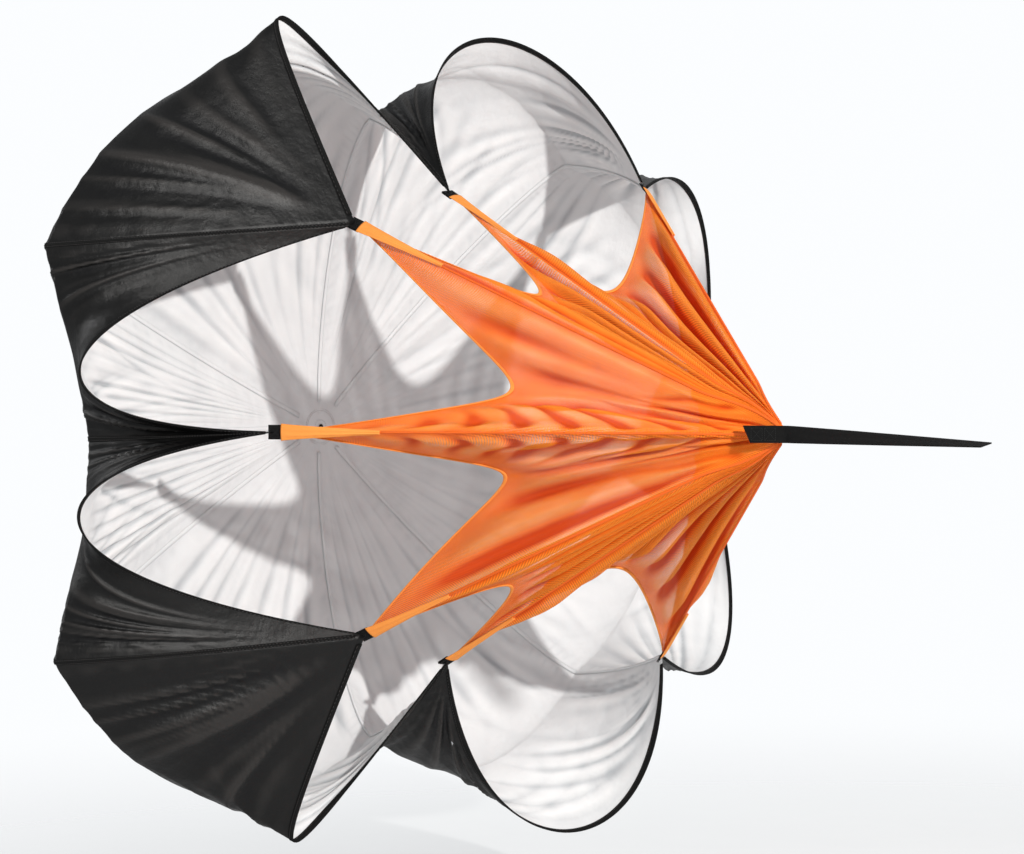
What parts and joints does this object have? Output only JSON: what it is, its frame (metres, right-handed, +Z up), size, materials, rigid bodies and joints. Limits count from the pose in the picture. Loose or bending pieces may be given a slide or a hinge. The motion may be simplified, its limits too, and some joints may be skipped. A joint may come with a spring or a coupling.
{
  "type": "running resistance parachute",
  "caption": "Inflated drag parachute for sprint training: round lobed nylon canopy, star-shaped mesh shroud in place of lines, and a webbing tether.",
  "frame": {"origin": "middle of the tether's cut end, where it is held", "axes": "+X along the chute's axis towards the runner, with the canopy at -X; +Z up; the chute's nearest pull point as seen in the usual view is on the -Y side"},
  "size_m": [1.4302, 1.4194, 1.3477],
  "materials": {
    "canopy_nylon": "coated woven nylon, black outside and silver-grey inside",
    "binding_tape": "matt woven binding tape",
    "orange_mesh": "open knitted polyester mesh, see-through",
    "mesh_binding": "folded mesh edge, lighter than the panel",
    "webbing": "matt flat-woven webbing"
  },
  "bodies": {
    "tether": {"tether_webbing": "webbing"},
    "chute": {"canopy_gore_1": "canopy_nylon", "canopy_gore_2": "canopy_nylon", "canopy_gore_3": "canopy_nylon", "canopy_gore_4": "canopy_nylon", "canopy_gore_5": "canopy_nylon", "canopy_gore_6": "canopy_nylon", "canopy_gore_7": "canopy_nylon", "canopy_gore_8": "canopy_nylon", "seam_tape_1": "binding_tape", "seam_tape_2": "binding_tape", "seam_tape_3": "binding_tape", "seam_tape_4": "binding_tape", "seam_tape_5": "binding_tape", "seam_tape_6": "binding_tape", "seam_tape_7": "binding_tape", "seam_tape_8": "binding_tape", "hem_tape_1": "binding_tape", "hem_tape_2": "binding_tape", "hem_tape_3": "binding_tape", "hem_tape_4": "binding_tape", "hem_tape_5": "binding_tape", "hem_tape_6": "binding_tape", "hem_tape_7": "binding_tape", "hem_tape_8": "binding_tape", "pull_tab_1": "binding_tape", "pull_tab_2": "binding_tape", "pull_tab_3": "binding_tape", "pull_tab_4": "binding_tape", "pull_tab_5": "binding_tape", "pull_tab_6": "binding_tape", "pull_tab_7": "binding_tape", "pull_tab_8": "binding_tape", "crown_patch": "binding_tape", "mesh_panel_1": "orange_mesh", "mesh_panel_2": "orange_mesh", "mesh_panel_3": "orange_mesh", "mesh_panel_4": "orange_mesh", "mesh_panel_5": "orange_mesh", "mesh_panel_6": "orange_mesh", "mesh_panel_7": "orange_mesh", "mesh_panel_8": "orange_mesh", "mesh_gather": "orange_mesh", "mesh_binding_1": "mesh_binding", "mesh_binding_2": "mesh_binding", "mesh_binding_3": "mesh_binding", "mesh_binding_4": "mesh_binding", "mesh_binding_5": "mesh_binding", "mesh_binding_6": "mesh_binding", "mesh_binding_7": "mesh_binding", "mesh_binding_8": "mesh_binding", "tether_lap": "webbing"}
  },
  "joints": [
    {"name": "tether_yaw", "type": "hinge", "parent": "tether", "child": "chute", "pos_m": [-0.3519, -0.0065, 0.01], "axis": [0, 0, 1], "range_deg": [-40, 40]}
  ]
}
